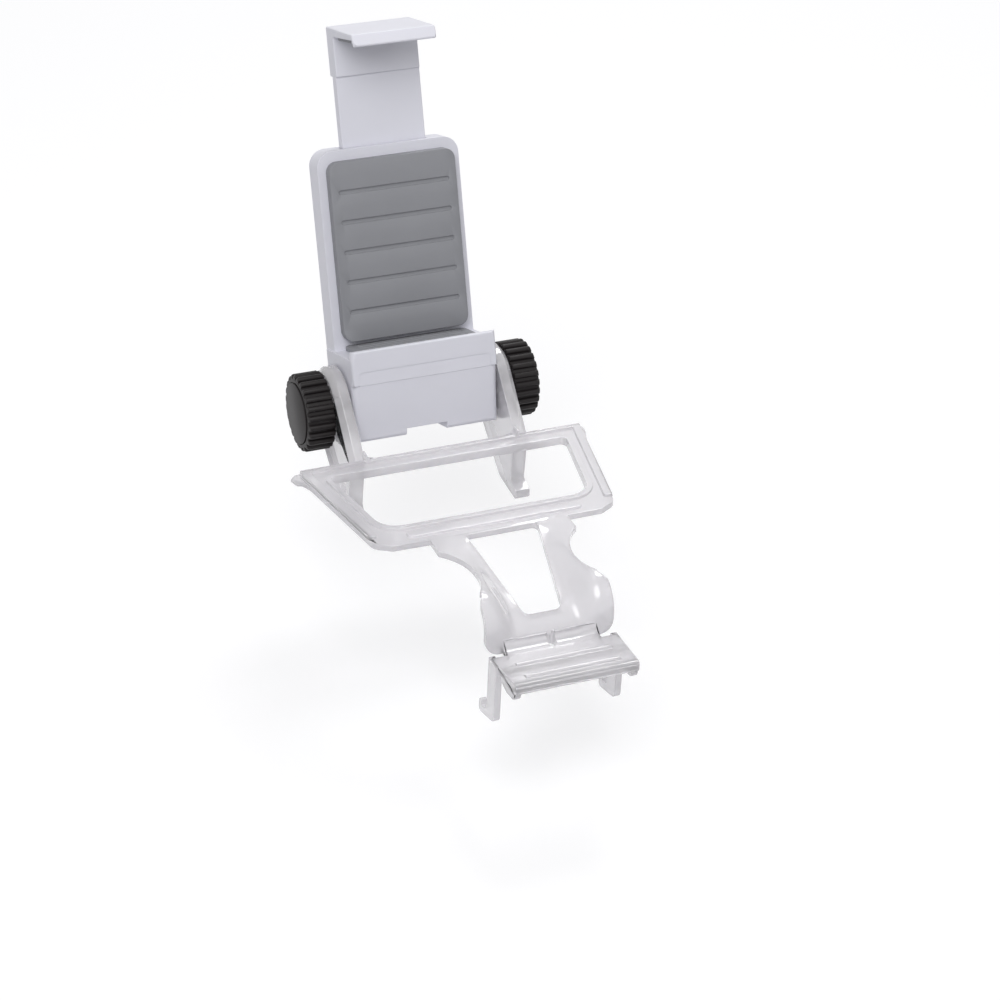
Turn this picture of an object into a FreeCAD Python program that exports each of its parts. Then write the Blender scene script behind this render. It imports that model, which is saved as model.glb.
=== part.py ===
import FreeCAD
import Part
import math
import os

# Phone clip that snaps over a game controller.
# X runs to the right along the tilt axis, Y to the rear and Z up, square to the pad's
# face. The origin is on the seat, under the middle of the bracket's top rail.
# All sizes are in millimetres.

# Bracket: the frame round the touch panel
wall = 1.6
rib_rise = 0.7
rib_width = 1.5
side_rib_width = 2.1
rail_depth = 4.8
window_depth = 25.2
window_half_rear = 30.2
window_half_front = 25.6
window_rear_radius = 1.4
window_front_radius = 5.5
side_rail_rear = 6.1
side_rail_front = 4.3
bar_depth = 4.6
bar_rib_half = 21.5
bar_rib_width = 2.8
bar_rib_gap = 2.4

# Bracket: the trough between the thumbsticks
stick_half_spacing = 26.0
stick_relief_radius = 14.0
stick_from_seat = 50.5
trough_lead = 2.3
trough_level = 3.1
trough_run = 21.0
trough_slope_deg = 13.8
trough_turn_radius = 10.0
trough_end_deg = 75.0
flank_inner = 6.5
flank_outer = 12.8
lobe_half = 15.5
lobe_corner_radius = 3.6
waist_half = 14.1
waist_run = 3.0
lobe_margin = 1.5
speaker_lead = 0.9
speaker_length = 25.8
speaker_half_rear = 8.9
speaker_half_front = 4.55
speaker_rear_radius = 1.3
speaker_radius = 1.8
slot_width = 1.9
slot_length = 3.5
slot_from_lobe = 0.85
corner_tip = 1.6
corner_droop = 2.2

# Bracket: the thumb tab and its two hooks
tab_half_rear = 15.2
tab_half_front = 14.8
tab_gap = 2.8
tab_depth = 13.1
tab_rise = 1.0
tab_thickness = 1.9
tab_lip_drop = 2.7
tab_rib_radius = 0.75
tab_rib_half = 11.4
tab_rib_shares = (0.37, 0.78)
neck_fillet = 1.8
neck_half = 11.2
skirt_run = 4.2
skirt_depth = 2.2
hook_out = 0.3
hook_width = 1.6
hook_depth = 4.6
hook_drop = 15.4
hook_reach = 8.9
hook_fall = 2.2
hook_foot = 2.0
hook_lip = 1.3

# Bracket: the two arms and their rear claws
pivot_rear = 21.8
pivot_height = 6.0
arm_inner = 19.1
arm_thickness = 3.65
head_radius = 10.2
arm_front_deg = 45.0
arm_rear_deg = 36.4
arm_rim = 1.7
arm_bevel = 1.3
arm_pocket = 1.2
boss_radius = 6.6
claw_drop = 12.0
claw_toe = 3.0
claw_thickness = 2.6
foot_fillet = 2.2

# Clamp, in its own upright frame with the tilt axis at the origin
tilt_deg = 18.5
arm_gap = 0.6
phone_face = 9.9
thickest_phone = 9.6
phone_floor = 14.06
body_bottom = 7.9
body_side_radius = 1.6
front_inset = 0.5
panel_out = 0.35
body_edge = 1.2
panel_top = 6.0
panel_lean = 2.2
lip_over = 0.84
lip_bottom = 6.4
lip_wall = 1.5
lip_lean = 0.75
back_wall = 1.5
channel_depth = 3.5
cover_thickness = 1.6
housing_inset = 0.5
housing_top = 61.0
housing_corner = 4.0
notch_half = 5.2
notch_height = 1.8
notch_depth = 7.0
shell_wall = 2.6
floor_wall = 3.5
channel_wall = 2.0
channel_head = 4.6
channel_bottom = 6.0

# Upper jaw, drawn part open; jaw_closed is its smallest opening
jaw_opening = 72.5
jaw_closed = 56.0
jaw_travel_up = 11.5
jaw_half = 10.6
jaw_plate = 2.6
jaw_back = 0.9
jaw_over = 0.8
jaw_taper = 0.3
jaw_corner = 1.6
jaw_lip_drop = 0.6
jaw_lip_wall = 1.5
bar_half = 10.6
sliding_gap = 0.35
bar_foot_gap = 2.7
pin_stop_gap = 1.7

# Springs and their pins
spring_radius = 1.5
spring_wire = 0.4
spring_foot = 3.0
pin_radius = 0.6
pin_seat = 2.0
pin_end_gap = 0.7

# Soft pads
pad_thickness = 1.2
back_pad_thickness = 3.0
pad_groove = 0.5
pad_groove_width = 1.0
pad_grooves = 5
jaw_pad_thickness = 0.9

# Knobs and the screw line
knob_radius = 9.5
knob_core = 8.75
knob_ribs = 24
knob_thickness = 6.8
knob_gap = 0.25
knob_face_radius = 7.4
knob_face_rise = 0.35
knob_edge = 0.5
knob_wall = 0.2
screw_radius = 2.0
screw_run = 0.08
screw_length = 12.4
hex_across = 7.0
screw_head = 2.8
hex_clearance = 0.03
washer_radius = 5.0
washer_thickness = 0.8
disc_radius = 6.4
disc_recess = 0.5
seat_gap = 0.05
nut_thickness = 3.2
nut_boss_radius = 6.0
nut_boss_depth = 6.6
nut_wall = 2.2

# Cover screws
cover_screw_radius = 1.0
cover_screw_head = 1.9
cover_screw_length = 5.2
cover_screw_sink = 1.1
lower_screw_half = 7.6
lower_screw_height = 0.6
cover_boss_radius = 2.6

# Reach of the cutting solids
far = 60.0
top_z = 12.0
under_z = -20.0

X_AXIS = FreeCAD.Vector(1, 0, 0)
Y_AXIS = FreeCAD.Vector(0, 1, 0)
Z_AXIS = FreeCAD.Vector(0, 0, 1)


def vec(x, y, z):
    return FreeCAD.Vector(x, y, z)


def plan(u, v):
    return vec(u, v, 0)


def side(u, v):
    return vec(0, u, v)


def front(u, v):
    return vec(u, 0, v)


def rounded(corners, lift):
    # A closed outline through corners of (u, v, radius), with each corner rounded.
    count = len(corners)
    edges = []
    ends = []
    for i in range(count):
        here = vec(corners[i][0], corners[i][1], 0)
        back = vec(corners[i - 1][0], corners[i - 1][1], 0) - here
        ahead = vec(corners[(i + 1) % count][0], corners[(i + 1) % count][1], 0) - here
        back.normalize()
        ahead.normalize()
        radius = corners[i][2]
        if radius == 0:
            ends.append((here, None, here))
            continue
        half = back.getAngle(ahead) / 2
        run = radius / math.tan(half)
        inward = back + ahead
        inward.normalize()
        middle = here + inward * (radius / math.sin(half) - radius)
        ends.append((here + back * run, middle, here + ahead * run))
    for i in range(count):
        start, middle, end = ends[i]
        following = ends[(i + 1) % count][0]
        if middle is not None:
            edges.append(Part.Arc(lift(start.x, start.y), lift(middle.x, middle.y),
                                  lift(end.x, end.y)).toShape())
        edges.append(Part.LineSegment(lift(end.x, end.y), lift(following.x, following.y)).toShape())
    return Part.Wire(edges)


def prism(wire, start, run):
    # The outline's solid, from an offset, along a run.
    face = Part.Face(wire)
    face.translate(start)
    return face.extrude(run)


def plan_prism(corners, low, high):
    return prism(rounded(corners, plan), vec(0, 0, low), vec(0, 0, high - low))


def side_prism(corners, left, right):
    return prism(rounded(corners, side), vec(left, 0, 0), vec(right - left, 0, 0))


def front_prism(corners, near, far_side):
    return prism(rounded(corners, front), vec(0, near, 0), vec(0, far_side - near, 0))


def block(x0, x1, y0, y1, z0, z1):
    return Part.makeBox(x1 - x0, y1 - y0, z1 - z0, vec(x0, y0, z0))


def rod(radius, start, axis, length):
    return Part.makeCylinder(radius, length, start, axis)


def mirrored(shape):
    return shape.mirror(vec(0, 0, 0), X_AXIS)


def both(shape):
    return shape.fuse(mirrored(shape))


def hexagon(across, x0, x1):
    reach = across / 2 / math.cos(math.pi / 6)
    corners = []
    for i in range(6):
        angle = math.pi / 3 * i + math.pi / 6
        corners.append((reach * math.cos(angle), reach * math.sin(angle), 0))
    return side_prism(corners, x0, x1)


def symmetric(right_side):
    # A left-right symmetric outline from its right half, listed from rear to front.
    left_side = [(-u, v, r) for u, v, r in reversed(right_side)]
    return right_side + left_side


# Places that follow from the sizes
rail_half = rail_depth / 2
frame_half_rear = window_half_rear + side_rail_rear
frame_half_front = window_half_front + side_rail_front
frame_depth = rail_depth + window_depth + bar_depth
window_rear_y = -rail_half
window_front_y = window_rear_y - window_depth
frame_front_y = rail_half - frame_depth
plate_top = wall
rib_top = wall + rib_rise
arm_outer = arm_inner + arm_thickness
trough_start = trough_lead - frame_front_y
trough_break = trough_start + trough_level
trough_turn = trough_break + trough_run
speaker_rear = trough_start + speaker_lead
speaker_front = speaker_rear + speaker_length
trough_slope = math.radians(trough_slope_deg)
trough_end = math.radians(trough_end_deg)
turn_drop = (trough_turn - trough_break) * math.tan(trough_slope)
turn_centre_y = -trough_turn + trough_turn_radius * math.sin(trough_slope)
turn_centre_z = plate_top - turn_drop - trough_turn_radius * math.cos(trough_slope)
lobe_front_y = turn_centre_y - trough_turn_radius * math.sin(trough_end)
lobe_bottom = turn_centre_z + trough_turn_radius * math.cos(trough_end)
shoulder_radius = -lobe_front_y - trough_turn
tab_rear_y = lobe_front_y - tab_gap
tab_front_y = tab_rear_y - tab_depth
tab_top = lobe_bottom + wall


def frame_half_at(y):
    share = (rail_half - y) / frame_depth
    return frame_half_rear + (frame_half_front - frame_half_rear) * share


def footprint(low, high):
    # The bracket seen from above: frame, stick reliefs and lobe. The frame's front
    # edge runs tangent into the reliefs.
    reach_x = frame_half_front - stick_half_spacing
    reach_y = frame_front_y + stick_from_seat
    distance = math.hypot(reach_x, reach_y)
    angle = math.atan2(reach_y, reach_x) + math.acos(stick_relief_radius / distance)
    right = [
        (frame_half_rear, rail_half, 1.6),
        (frame_half_front, frame_front_y, 3.0),
        (stick_half_spacing + stick_relief_radius * math.cos(angle),
         -stick_from_seat + stick_relief_radius * math.sin(angle), 0),
        (waist_half, -trough_turn, 0),
        (lobe_half, -trough_turn - waist_run, 3.0),
        (lobe_half, lobe_front_y - 1, 0),
    ]
    shape = plan_prism(symmetric(right), low, high)
    for hand in (-1, 1):
        spot = vec(hand * stick_half_spacing, -stick_from_seat, low)
        shape = shape.cut(rod(stick_relief_radius, spot, Z_AXIS, high - low))
    return shape


def trapezoid(rear, front_edge, half_rear, half_front, radius_rear, radius_front):
    return symmetric([(half_rear, rear, radius_rear), (half_front, front_edge, radius_front)])


def window_corners(grow):
    return trapezoid(window_rear_y + grow, window_front_y - grow,
                     window_half_rear + grow, window_half_front + grow,
                     window_rear_radius + grow, window_front_radius + grow)


def trough_point(across, along):
    # A point of the trough's top skin. across is x, along runs from 0 at the frame
    # over 1 at the turn to 2 at the lobe's lower edge. The middle sinks, the flanks
    # rise back to the plate's level beside the sticks.
    if along <= 1:
        y = -trough_start - (trough_turn - trough_start) * along
        sink = max(0.0, -y - trough_break) * math.tan(trough_slope)
        middle = vec(across, y, plate_top - sink)
        flank = vec(across, y, plate_top)
    else:
        angle = trough_slope + (trough_end - trough_slope) * (along - 1)
        middle = vec(across, turn_centre_y - trough_turn_radius * math.sin(angle),
                     turn_centre_z + trough_turn_radius * math.cos(angle))
        quarter = shoulder_radius * math.pi / 2
        straight = plate_top - shoulder_radius - lobe_bottom
        travel = (quarter + straight) * (along - 1)
        bend = min(travel / shoulder_radius, math.pi / 2)
        rest = max(0.0, travel - quarter)
        flank = vec(across, -trough_turn - shoulder_radius * math.sin(bend),
                    plate_top - shoulder_radius + shoulder_radius * math.cos(bend) - rest)
    share = (abs(across) - flank_inner) / (flank_outer - flank_inner)
    share = min(max(share, 0.0), 1.0)
    weight = share * share * (3 - 2 * share)
    return middle + (flank - middle) * weight


def skin(rows):
    surface = Part.BSplineSurface()
    surface.interpolate(rows)
    return surface


def trough():
    # One moulded wall of even thickness: the top skin and the same skin moved inward.
    reach = lobe_half + lobe_margin
    half_columns = 9
    columns = [reach * i / half_columns for i in range(-half_columns, half_columns + 1)]
    stations = [i / 8 for i in range(8)] + [1 + i / 7 for i in range(8)]
    step = 0.01
    top_rows = []
    under_rows = []
    for along in stations:
        top_row = []
        under_row = []
        for across in columns:
            here = trough_point(across, along)
            ahead = trough_point(across, along + step) - trough_point(across, max(along - step, 0))
            beside = trough_point(across + step, along) - trough_point(across - step, along)
            inward = beside.cross(ahead)
            inward.normalize()
            top_row.append(here)
            under_row.append(here + inward * wall)
        top_rows.append(top_row)
        under_rows.append(under_row)
    top = skin(top_rows)
    under = skin(under_rows)
    faces = [top.toShape(), under.toShape()]
    u0, u1, v0, v1 = top.bounds()
    pairs = [
        (top.uIso(u0), under.uIso(u0)),
        (top.uIso(u1), under.uIso(u1)),
        (top.vIso(v0), under.vIso(v0)),
        (top.vIso(v1), under.vIso(v1)),
    ]
    for one, other in pairs:
        faces.append(Part.makeRuledSurface(one.toShape(), other.toShape()))
    shell = Part.makeShell(faces)
    shell.sewShape()
    solid = Part.makeSolid(shell)
    if solid.Volume < 0:
        solid.reverse()
    return solid


def bracket_plate():
    slab = block(-far, far, -trough_start, rail_half, 0, plate_top)
    plate = slab.common(footprint(-1, plate_top + 1))
    lobe = trough().common(footprint(under_z, top_z))
    lobe_face = front_prism([
        (lobe_half, top_z, 0),
        (lobe_half, lobe_bottom, lobe_corner_radius),
        (-lobe_half, lobe_bottom, lobe_corner_radius),
        (-lobe_half, top_z, 0),
    ], lobe_front_y - 1, -trough_turn)
    wide = block(-far, far, -trough_turn, -trough_start, under_z, top_z)
    lobe = lobe.common(lobe_face.fuse(wide))
    return plate.fuse(lobe)


def bracket_ribs():
    ring = plan_prism(window_corners(rib_width), 0, rib_top)
    outer = frame_half_at(frame_front_y + 2)
    strip = plan_prism([
        (frame_half_rear - 0.4, rail_half, 0.5),
        (outer, frame_front_y + 2, 0.5),
        (outer - side_rib_width, frame_front_y + 2, 0.5),
        (frame_half_rear - side_rib_width - 0.4, rail_half, 0.5),
    ], 0, rib_top)
    rear = block(-frame_half_rear + 2, frame_half_rear - 2, rail_half - rib_width * 0.8,
                 rail_half, 0, rib_top)
    bar_rear = window_front_y - bar_rib_gap
    bar = plan_prism(symmetric([
        (bar_rib_half, bar_rear - 0.6, 0.6),
        (bar_rib_half, bar_rear - bar_rib_width, 0.9),
    ]), 0, rib_top)
    return ring.fuse([both(strip), rear, bar])


def bracket_windows():
    touch = plan_prism(window_corners(0), -1, top_z)
    speaker = plan_prism(trapezoid(-speaker_rear, -speaker_front, speaker_half_rear,
                                   speaker_half_front, speaker_rear_radius, speaker_radius),
                         under_z, top_z)
    slot_y = lobe_front_y - slot_from_lobe
    round_end = slot_width / 2 - 0.01
    slot = plan_prism([
        (slot_width / 2, slot_y + slot_length / 2, round_end),
        (slot_width / 2, slot_y - slot_length / 2, round_end),
        (-slot_width / 2, slot_y - slot_length / 2, round_end),
        (-slot_width / 2, slot_y + slot_length / 2, round_end),
    ], under_z, lobe_bottom + 3 * wall)
    return touch.fuse([speaker, slot])


def corner_tips():
    # The frame's rear corners run out into points that droop over the pad's face.
    outer = frame_half_rear + corner_tip
    droop = front_prism([
        (frame_half_rear - 3, plate_top, 0),
        (outer - 1, plate_top - corner_droop * 0.35, 1.5),
        (outer, plate_top - corner_droop, 0.2),
        (outer - 0.9, plate_top - corner_droop - 0.5, 0.3),
        (outer - 1.8, 0, 1.0),
        (frame_half_rear - 3, 0, 0),
    ], -far, far)
    ear = plan_prism([
        (frame_half_rear - 3, rail_half, 0),
        (outer, rail_half + 0.9, 0.3),
        (frame_half_at(-4), -4, 0),
        (frame_half_rear - 3, -4, 0),
    ], under_z, top_z)
    return both(droop.common(ear))


def thumb_tab():
    underside = tab_top - tab_thickness
    lip = tab_top + tab_rise - tab_thickness - (tab_lip_drop - tab_thickness)
    plate = side_prism([
        (tab_rear_y, tab_top, 0.3),
        (tab_front_y, tab_top + tab_rise, 0.7),
        (tab_front_y, lip, 0.6),
        (tab_front_y + wall, lip, 0.5),
        (tab_front_y + wall + 1.2, underside + tab_rise, 0.8),
        (tab_rear_y, underside, 0),
    ], -tab_half_rear, tab_half_rear)
    outline = plan_prism(trapezoid(tab_rear_y + 1, tab_front_y - 1, tab_half_rear,
                                   tab_half_front, 0, 0.8), under_z, top_z)
    plate = plate.common(outline)
    neck = block(-neck_half, neck_half, tab_rear_y - 1.5, lobe_front_y + wall,
                 lobe_bottom - 0.4, tab_top)
    crook = block(-neck_half, neck_half, lobe_front_y - neck_fillet, lobe_front_y + wall / 2,
                  tab_top - wall / 2, tab_top + neck_fillet)
    crook = crook.cut(rod(neck_fillet, vec(-neck_half - 1, lobe_front_y - neck_fillet,
                                           tab_top + neck_fillet), X_AXIS, 2 * neck_half + 2))
    shapes = [neck, crook]
    for share in tab_rib_shares:
        y = tab_rear_y - tab_depth * share
        z = tab_top + tab_rise * share - tab_rib_radius * 0.25
        shapes.append(rod(tab_rib_radius, vec(-tab_rib_half, y, z), X_AXIS, 2 * tab_rib_half))
    return plate.fuse(shapes)


def tab_skirt():
    # The web under each end of the tab, from the hook to the front lip.
    underside = tab_top - tab_thickness
    low = underside - skirt_depth
    return side_prism([
        (tab_rear_y - 1, underside + 0.5, 0),
        (tab_rear_y - 1, underside - 0.3, 0),
        (tab_front_y + skirt_run + 1, low, 0),
        (tab_front_y + 0.9, low + 0.6, 1.3),
        (tab_front_y + 0.2, underside + 0.8, 0),
    ], tab_half_front - wall, tab_half_front)


def front_hook():
    # A J that goes round the pad's lower edge: a plate seen from the side.
    rear_y = tab_rear_y + 1.2
    front_y = rear_y - hook_depth
    heel = tab_top - hook_drop
    tip_y = front_y + hook_reach
    toe = heel - hook_fall
    rise = hook_fall * hook_depth / hook_reach
    outer = tab_half_rear + hook_out
    return side_prism([
        (front_y, tab_top - 0.4, 0),
        (front_y, heel, 2.0),
        (tip_y, toe, 1.0),
        (tip_y, toe + hook_foot + hook_lip, 0.6),
        (tip_y - 1.5, toe + hook_foot + hook_lip + 0.4, 0.6),
        (tip_y - 1.7, toe + hook_foot + 0.4, 0),
        (rear_y, heel + hook_foot - rise, 0.9),
        (rear_y, tab_top - 0.4, 0),
    ], outer - hook_width, outer)


def bevel_wedge(start, run, inward):
    # What is cut away to bevel the outer edge of an arm's straight run.
    low = start + vec(arm_outer - arm_bevel - 1, 0, 0) - inward
    high = start + vec(arm_outer + 1, 0, 0) + inward * (arm_bevel + 1)
    corner = start + vec(arm_outer + 1, 0, 0) - inward
    face = Part.Face(Part.makePolygon([low, high, corner, low]))
    return face.extrude(run)


def arm():
    # One arm: pivot head, sloping band and rear claw, with a rim round a thinner web.
    front_run = math.radians(arm_front_deg)
    rear_run = math.radians(arm_rear_deg)
    head_front = vec(0, pivot_rear - head_radius * math.sin(front_run),
                     pivot_height + head_radius * math.cos(front_run))
    head_rear = vec(0, pivot_rear + head_radius * math.sin(rear_run),
                    pivot_height - head_radius * math.cos(rear_run))
    foot_y = rail_half
    foot_z = head_front.z - (head_front.y - foot_y) * math.tan(front_run)
    heel_z = -claw_drop - claw_thickness
    heel_y = head_rear.y - (head_rear.z - heel_z) / math.tan(rear_run)
    inner_y = rail_half + 0.8
    corners = [
        (head_front.y, head_front.z, 0),
        (foot_y, foot_z, 0),
        (foot_y - 1.4, foot_z, 0),
        (foot_y - 1.4, 0, 0),
        (inner_y, 0, 0),
        (inner_y + 1.0, -claw_drop, 1.4),
        (inner_y - claw_toe, -claw_drop - 0.9, 0.5),
        (inner_y - claw_toe, heel_z - 0.9, 1.1),
        (heel_y, heel_z, 5.0),
        (head_rear.y, head_rear.z, 0),
    ]
    band = side_prism(corners, arm_inner, arm_outer)
    run_front = vec(0, -math.cos(front_run), -math.sin(front_run))
    run_rear = vec(0, -math.cos(rear_run), -math.sin(rear_run))
    band = band.cut(bevel_wedge(head_front, run_front * far, vec(0, run_front.z, -run_front.y) * -1))
    band = band.cut(bevel_wedge(head_rear, run_rear * far, vec(0, run_rear.z, -run_rear.y)))
    head = rod(head_radius, vec(arm_inner, pivot_rear, pivot_height), X_AXIS,
               arm_thickness - arm_bevel)
    rim = Part.makeCone(head_radius, head_radius - arm_bevel, arm_bevel,
                        vec(arm_outer - arm_bevel, pivot_rear, pivot_height), X_AXIS)
    plate = band.fuse([head, rim])

    # The web is pocketed from outside, inside the rim and round the pivot boss.
    pocket_corners = [
        (head_front.y + arm_rim, head_front.z - (arm_rim + arm_bevel) * 2, 1.0),
        (foot_y + arm_rim * 2 + arm_bevel, foot_z, 1.0),
        (inner_y + 1.0 + arm_rim, -claw_drop + 1.0, 1.5),
        (heel_y + 1.0, heel_z + arm_rim + 1.2, 1.5),
        (head_rear.y - arm_rim * 0.5, head_rear.z + arm_rim, 1.5),
    ]
    pocket = side_prism(pocket_corners, arm_outer - arm_pocket, arm_outer + 1)
    boss = rod(boss_radius, vec(arm_inner, pivot_rear, pivot_height), X_AXIS, arm_thickness + 2)
    plate = plate.cut(pocket.cut(boss))
    return plate


def foot_gusset():
    # The hollow fillet where an arm's inner face meets the top rail.
    size = foot_fillet
    square = block(arm_inner - size, arm_inner + 0.5, rail_half - 1.2, rail_half + 1.5,
                   0, plate_top + size)
    hollow = rod(size, vec(arm_inner - size, rail_half - 2, plate_top + size), Y_AXIS, 5)
    return square.cut(hollow)


def base_frame():
    shape = bracket_plate().fuse([bracket_ribs(), corner_tips()])
    right_arm = arm().fuse(foot_gusset())
    shape = shape.fuse([thumb_tab(), both(front_hook().fuse(tab_skirt()))])
    shape = shape.cut(bracket_windows())
    shape = shape.fuse(both(right_arm))
    hole = rod(screw_radius + screw_run, vec(-far, pivot_rear, pivot_height), X_AXIS, 2 * far)
    return shape.cut(hole)


# Clamp pieces are drawn upright about the tilt axis, with the phone's screen towards
# -Y, and leaned back into place by tilted().
body_half = arm_inner - arm_gap
panel_front = phone_face + panel_out
ledge_height = phone_floor - pad_thickness
lip_top = phone_floor + lip_over
lip_front_top = phone_face + lip_wall
lip_front_bottom = lip_front_top - lip_lean
housing_half = body_half - housing_inset
back_wall_front = thickest_phone + back_pad_thickness - phone_face
channel_front = back_wall_front + back_wall
channel_rear = channel_front + channel_depth
body_rear = channel_rear
clamp_rear = channel_rear + cover_thickness
bar_middle = channel_front + channel_depth / 2
jaw_under = phone_floor + jaw_opening
jaw_top = jaw_under + jaw_plate
jaw_tip_half = jaw_half - jaw_taper
jaw_front_top = phone_face - jaw_back
jaw_front_bottom = phone_face + jaw_over
leg_bottom = housing_top + sliding_gap + jaw_opening - jaw_closed
bar_thickness = channel_depth - 2 * sliding_gap
bar_bottom = channel_bottom + bar_foot_gap + jaw_opening - jaw_closed
channel_top = housing_top - channel_head
spring_channel_half = housing_half - channel_wall
slot_half = bar_half + sliding_gap
spring_x = (slot_half + spring_channel_half) / 2
lower_pin_z = channel_bottom + spring_foot
upper_pin_z = channel_top - pin_stop_gap - jaw_travel_up
upper_screw_half = (slot_half + housing_half) / 2
upper_screw_z = channel_top + channel_head / 2


def tilted(shape):
    placed = shape.copy()
    placed.rotate(vec(0, 0, 0), X_AXIS, -tilt_deg)
    placed.translate(vec(0, pivot_rear, pivot_height))
    return placed


def clamp_outline(near, far_side):
    return front_prism([
        (body_half, -body_bottom, 1.0),
        (body_half, lip_bottom, 0),
        (housing_half, lip_bottom + 3, 0),
        (housing_half, housing_top, housing_corner),
        (-housing_half, housing_top, housing_corner),
        (-housing_half, lip_bottom + 3, 0),
        (-body_half, lip_bottom, 0),
        (-body_half, -body_bottom, 1.0),
    ], near, far_side)


def clamp_body():
    # The lower box with its leaning front, the wall behind the phone and the lip.
    outline = rounded([
        (body_half, far, 0),
        (body_half, -panel_front, body_side_radius),
        (-body_half, -panel_front, body_side_radius),
        (-body_half, far, 0),
    ], plan)
    fall = panel_top + body_bottom
    lower = prism(outline, vec(0, 0, panel_top), vec(0, panel_lean, -fall))
    upper = prism(outline, vec(0, 0, panel_top), vec(0, 0, ledge_height - panel_top))
    profile = side_prism([
        (-panel_front + panel_lean, -body_bottom, body_edge),
        (-panel_front, panel_top, 0),
        (-panel_front, ledge_height, 0),
        (body_rear, ledge_height, 0),
        (body_rear, -body_bottom, 0),
    ], -body_half, body_half)
    box = lower.fuse(upper).common(profile)
    lip = side_prism([
        (-lip_front_bottom, lip_bottom, 0.3),
        (-lip_front_top, lip_top, 0.5),
        (-lip_front_top + lip_wall, lip_top, 0.4),
        (-phone_face + front_inset, ledge_height, 0),
        (-phone_face + front_inset + 1, ledge_height, 0),
        (-phone_face + front_inset + 1, lip_bottom, 0),
    ], -body_half, body_half)
    lip_outline = plan_prism([
        (body_half, 0, 0),
        (body_half, -lip_front_top, body_side_radius),
        (-body_half, -lip_front_top, body_side_radius),
        (-body_half, 0, 0),
    ], lip_bottom - 1, lip_top + 1)
    lip = lip.common(lip_outline)
    wall_behind = block(-housing_half, housing_half, back_wall_front, body_rear, 0, housing_top)
    shape = box.fuse([lip, wall_behind.common(clamp_outline(-far, far))])

    # Hollow from behind: the lower room, the spring channels and the bar's slot.
    room = block(-body_half + shell_wall, body_half - shell_wall,
                 -panel_front + shell_wall + panel_lean, body_rear + 1,
                 -body_bottom + floor_wall, ledge_height - shell_wall / 2)
    channel = block(-spring_channel_half, spring_channel_half, channel_front, body_rear + 1,
                    channel_bottom, channel_top)
    bar_slot = block(-slot_half, slot_half, channel_front, body_rear + 1, channel_bottom,
                     housing_top + 1)
    shape = shape.cut(room.fuse([channel, bar_slot]))
    notch = block(-notch_half, notch_half, -panel_front, -panel_front + notch_depth + panel_lean,
                  -body_bottom - 1, -body_bottom + notch_height)
    shape = shape.cut(notch)

    # Bosses for the captive nuts and for the cover's lower screws.
    nut_inner = body_half - nut_boss_depth
    boss = rod(nut_boss_radius, vec(nut_inner, 0, 0), X_AXIS, nut_boss_depth - 1)
    within = block(-body_half, body_half, -panel_front + panel_lean, body_rear,
                   -body_bottom + 1, ledge_height)
    post = rod(cover_boss_radius, vec(lower_screw_half, -panel_front + panel_lean + 1,
                                      lower_screw_height), Y_AXIS, body_rear + panel_front - panel_lean - 1)
    shape = shape.fuse(both(boss.fuse(post)).common(within))
    pocket = hexagon(hex_across + 2 * hex_clearance, nut_inner - 1, body_half - nut_wall - disc_recess)
    recess = rod(disc_radius + 0.2, vec(body_half - disc_recess, 0, 0), X_AXIS, 5)
    shape = shape.cut(both(pocket.fuse(recess)))
    shape = shape.cut(rod(screw_radius + screw_run, vec(-far, 0, 0), X_AXIS, 2 * far))

    pin_end = spring_channel_half + pin_seat
    pins = rod(pin_radius, vec(-pin_end, bar_middle, lower_pin_z), X_AXIS, 2 * pin_end)
    shape = shape.cut(pins)
    for x, z in cover_screw_spots():
        shape = shape.cut(rod(cover_screw_radius, vec(x, clamp_rear - cover_screw_length - 0.3, z),
                              Y_AXIS, cover_screw_length + 1))
    return shape


def cover_screw_spots():
    spots = []
    for hand in (-1, 1):
        spots.append((hand * lower_screw_half, lower_screw_height))
        spots.append((hand * upper_screw_half, upper_screw_z))
    return spots


def clamp_cover():
    plate = clamp_outline(channel_rear, clamp_rear)
    rear_edges = []
    for edge in plate.Edges:
        if abs(edge.CenterOfMass.y - clamp_rear) < 0.01:
            rear_edges.append(edge)
    plate = plate.makeChamfer(0.5, rear_edges)
    for x, z in cover_screw_spots():
        plate = plate.cut(rod(cover_screw_radius + 0.1, vec(x, channel_rear - 1, z), Y_AXIS, 5))
        sink = Part.makeCone(cover_screw_radius + 0.1, cover_screw_head + 0.1, cover_screw_sink,
                             vec(x, clamp_rear - cover_screw_sink, z), Y_AXIS)
        plate = plate.cut(sink)
    return plate


def cover_screws():
    screws = []
    for x, z in cover_screw_spots():
        tip = clamp_rear - cover_screw_length
        shank = rod(cover_screw_radius - 0.02, vec(x, tip, z), Y_AXIS, cover_screw_length - 0.2)
        head = Part.makeCone(cover_screw_radius - 0.02, cover_screw_head, cover_screw_sink,
                             vec(x, clamp_rear - cover_screw_sink, z), Y_AXIS)
        screw = shank.fuse(head)
        slot = block(x - cover_screw_head, x + cover_screw_head, clamp_rear - 0.5, clamp_rear + 1,
                     z - 0.2, z + 0.2)
        screws.append(screw.cut(slot))
    return Part.makeCompound(screws)


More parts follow.
